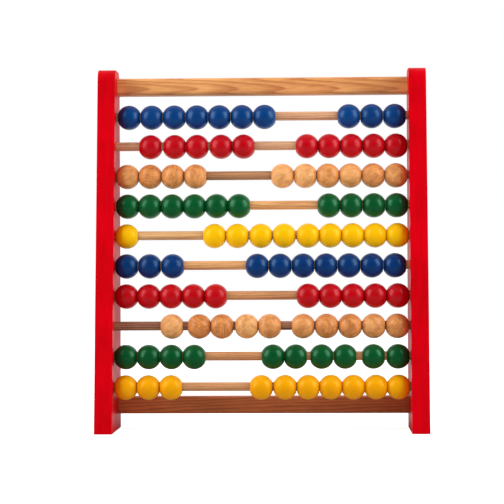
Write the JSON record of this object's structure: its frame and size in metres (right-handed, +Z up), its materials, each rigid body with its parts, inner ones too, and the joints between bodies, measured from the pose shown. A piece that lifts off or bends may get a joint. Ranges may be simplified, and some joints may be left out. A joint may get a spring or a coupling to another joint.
{
  "type": "counting board",
  "caption": "Wooden counting board: coloured beads slide on dowel rods between red side panels that a top and a bottom bar join.",
  "frame": {"origin": "on the ground, under the middle of the board's width and depth", "axes": "+Z up, +X along the rods to the reader's right, +Y from the reader's side to the back"},
  "size_m": [0.274, 0.075, 0.302],
  "materials": {
    "red_lacquer": "semi-gloss lacquer",
    "bar_wood": "satin clear varnish",
    "rod_wood": "bare, fine sanded",
    "blue_beads": "satin paint",
    "red_beads": "satin paint",
    "plain_beads": "satin clear varnish",
    "green_beads": "satin paint",
    "yellow_beads": "satin paint",
    "screw_steel": "zinc plated"
  },
  "bodies": {
    "frame": {"left_panel": "red_lacquer", "right_panel": "red_lacquer", "top_bar": "bar_wood", "bottom_bar": "bar_wood", "frame_screws": "screw_steel", "rod_01": "rod_wood", "rod_02": "rod_wood", "rod_03": "rod_wood", "rod_04": "rod_wood", "rod_05": "rod_wood", "rod_06": "rod_wood", "rod_07": "rod_wood", "rod_08": "rod_wood", "rod_09": "rod_wood", "rod_10": "rod_wood"},
    "row_01_left_beads": {"row_01_left_beads": "blue_beads"},
    "row_01_right_beads": {"row_01_right_beads": "blue_beads"},
    "row_02_left_beads": {"row_02_left_beads": "red_beads"},
    "row_02_right_beads": {"row_02_right_beads": "red_beads"},
    "row_03_left_beads": {"row_03_left_beads": "plain_beads"},
    "row_03_right_beads": {"row_03_right_beads": "plain_beads"},
    "row_04_left_beads": {"row_04_left_beads": "green_beads"},
    "row_04_right_beads": {"row_04_right_beads": "green_beads"},
    "row_05_left_beads": {"row_05_left_beads": "yellow_beads"},
    "row_05_right_beads": {"row_05_right_beads": "yellow_beads"},
    "row_06_left_beads": {"row_06_left_beads": "blue_beads"},
    "row_06_right_beads": {"row_06_right_beads": "blue_beads"},
    "row_07_left_beads": {"row_07_left_beads": "red_beads"},
    "row_07_right_beads": {"row_07_right_beads": "red_beads"},
    "row_08_left_beads": {"row_08_left_beads": "plain_beads"},
    "row_08_right_beads": {"row_08_right_beads": "plain_beads"},
    "row_09_left_beads": {"row_09_left_beads": "green_beads"},
    "row_09_right_beads": {"row_09_right_beads": "green_beads"},
    "row_10_left_beads": {"row_10_left_beads": "yellow_beads"},
    "row_10_right_beads": {"row_10_right_beads": "yellow_beads"}
  },
  "joints": [
    {"name": "row_01_left_slide", "type": "slide", "parent": "frame", "child": "row_01_left_beads", "axis": [1, 0, 0], "range_m": [-0.0012, 0.0519]},
    {"name": "row_01_right_slide", "type": "slide", "parent": "frame", "child": "row_01_right_beads", "axis": [1, 0, 0], "range_m": [-0.0519, 0.0018]},
    {"name": "row_02_left_slide", "type": "slide", "parent": "frame", "child": "row_02_left_beads", "axis": [1, 0, 0], "range_m": [-0.0193, 0.0343]},
    {"name": "row_02_right_slide", "type": "slide", "parent": "frame", "child": "row_02_right_beads", "axis": [1, 0, 0], "range_m": [-0.0343, 0.0009]},
    {"name": "row_03_left_slide", "type": "slide", "parent": "frame", "child": "row_03_left_beads", "axis": [1, 0, 0], "range_m": [-0.0001, 0.054]},
    {"name": "row_03_right_slide", "type": "slide", "parent": "frame", "child": "row_03_right_beads", "axis": [1, 0, 0], "range_m": [-0.054, 0.0012]},
    {"name": "row_04_left_slide", "type": "slide", "parent": "frame", "child": "row_04_left_beads", "axis": [1, 0, 0], "range_m": [-0.0006, 0.0561]},
    {"name": "row_04_right_slide", "type": "slide", "parent": "frame", "child": "row_04_right_beads", "axis": [1, 0, 0], "range_m": [-0.0561, 0.0009]},
    {"name": "row_05_left_slide", "type": "slide", "parent": "frame", "child": "row_05_left_beads", "axis": [1, 0, 0], "range_m": [-0.0001, 0.0543]},
    {"name": "row_05_right_slide", "type": "slide", "parent": "frame", "child": "row_05_right_beads", "axis": [1, 0, 0], "range_m": [-0.0543, 0.0004]},
    {"name": "row_06_left_slide", "type": "slide", "parent": "frame", "child": "row_06_left_beads", "axis": [1, 0, 0], "range_m": [-0.0001, 0.0517]},
    {"name": "row_06_right_slide", "type": "slide", "parent": "frame", "child": "row_06_right_beads", "axis": [1, 0, 0], "range_m": [-0.0517, 0.0027]},
    {"name": "row_07_left_slide", "type": "slide", "parent": "frame", "child": "row_07_left_beads", "axis": [1, 0, 0], "range_m": [-0.0001, 0.0579]},
    {"name": "row_07_right_slide", "type": "slide", "parent": "frame", "child": "row_07_right_beads", "axis": [1, 0, 0], "range_m": [-0.0579, 0.0006]},
    {"name": "row_08_left_slide", "type": "slide", "parent": "frame", "child": "row_08_left_beads", "axis": [1, 0, 0], "range_m": [-0.0381, 0.0089]},
    {"name": "row_08_right_slide", "type": "slide", "parent": "frame", "child": "row_08_right_beads", "axis": [1, 0, 0], "range_m": [-0.0089, 0.0012]},
    {"name": "row_09_left_slide", "type": "slide", "parent": "frame", "child": "row_09_left_beads", "axis": [1, 0, 0], "range_m": [-0.0001, 0.0464]},
    {"name": "row_09_right_slide", "type": "slide", "parent": "frame", "child": "row_09_right_beads", "axis": [1, 0, 0], "range_m": [-0.0464, 0.0009]},
    {"name": "row_10_left_slide", "type": "slide", "parent": "frame", "child": "row_10_left_beads", "axis": [1, 0, 0], "range_m": [-0.0001, 0.0558]},
    {"name": "row_10_right_slide", "type": "slide", "parent": "frame", "child": "row_10_right_beads", "axis": [1, 0, 0], "range_m": [-0.0558, 0.0006]}
  ]
}
